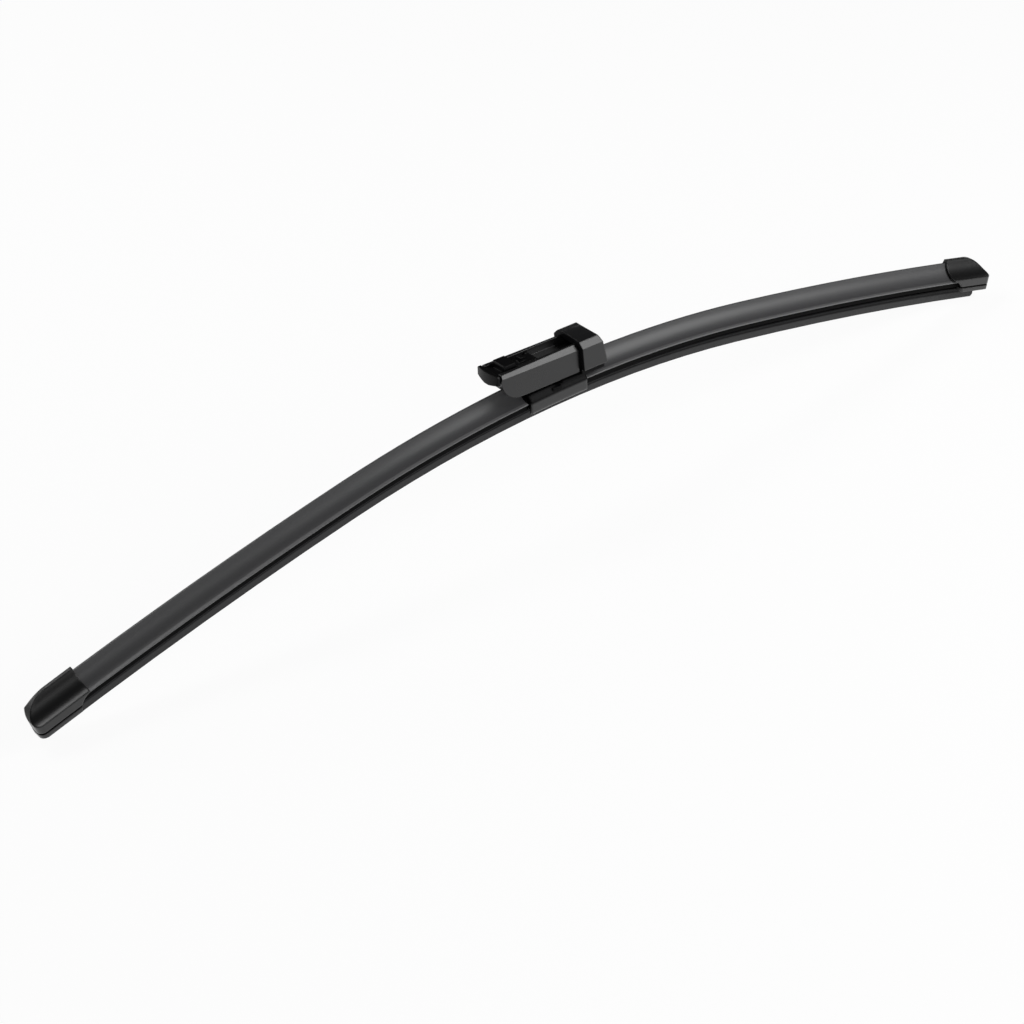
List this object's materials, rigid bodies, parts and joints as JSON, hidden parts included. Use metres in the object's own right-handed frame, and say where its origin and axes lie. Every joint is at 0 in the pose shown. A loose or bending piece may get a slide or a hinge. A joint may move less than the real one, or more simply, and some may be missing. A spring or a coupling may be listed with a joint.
{
  "type": "wiper blade",
  "caption": "Flat car wiper blade with a concave rubber spoiler, moulded end caps and a pivoting clip-on adaptor for the wiper arm, in matte black.",
  "frame": {"origin": "The middle of the pivot pin, where the wiper arm's load reaches the blade", "axes": "+X along the blade towards the end under the rear cover, +Y leeward across the blade, +Z away from the glass"},
  "size_m": [0.5894, 0.0218, 0.0859],
  "materials": {
    "wiping_rubber": "graphite-coated natural rubber, matte with a faint sheen along the wedge",
    "spoiler_rubber": "extruded thermoplastic rubber, satin, fine lengthwise extrusion lines",
    "spring_steel": "spring steel strip with a thin dark corrosion-proof coat",
    "cap_plastic": "injection moulded, fine spark-eroded grain",
    "coated_steel": "stamped steel with a black coat, rounded bends",
    "plated_steel": "zinc-plated steel, satin",
    "natural_plastic": "undyed acetal, satin",
    "adaptor_plastic": "glass-filled injection moulding, matte with a fine grain",
    "cover_plastic": "injection moulded, smooth satin",
    "lever_plastic": "acetal moulding, satin"
  },
  "bodies": {
    "adaptor": {"adaptor_body": "adaptor_plastic", "rear_cover": "cover_plastic", "latch_spring": "plated_steel"},
    "latch": {"latch_lever": "lever_plastic"},
    "blade": {"squeegee": "wiping_rubber", "spring_rail_front": "spring_steel", "spring_rail_rear": "spring_steel", "spoiler_left": "spoiler_rubber", "spoiler_right": "spoiler_rubber", "end_cap_left": "cap_plastic", "end_cap_right": "cap_plastic", "rail_clip_left": "plated_steel", "rail_clip_right": "plated_steel", "bracket": "coated_steel", "bracket_cover": "cap_plastic", "pivot_pin": "plated_steel", "spacer_sleeve": "natural_plastic"}
  },
  "joints": [
    {"name": "adaptor_pivot", "type": "hinge", "parent": "adaptor", "child": "blade", "pos_m": [0, 0, 0], "axis": [0, 1, 0], "range_deg": [-8, 6]},
    {"name": "latch_press", "type": "hinge", "parent": "adaptor", "child": "latch", "pos_m": [-0.01127, 0, 0.00832], "axis": [0, 1, 0], "range_deg": [-7.5, 0], "stiffness_Nm_per_rad": 0.5, "deforming": ["latch_spring"]}
  ]
}
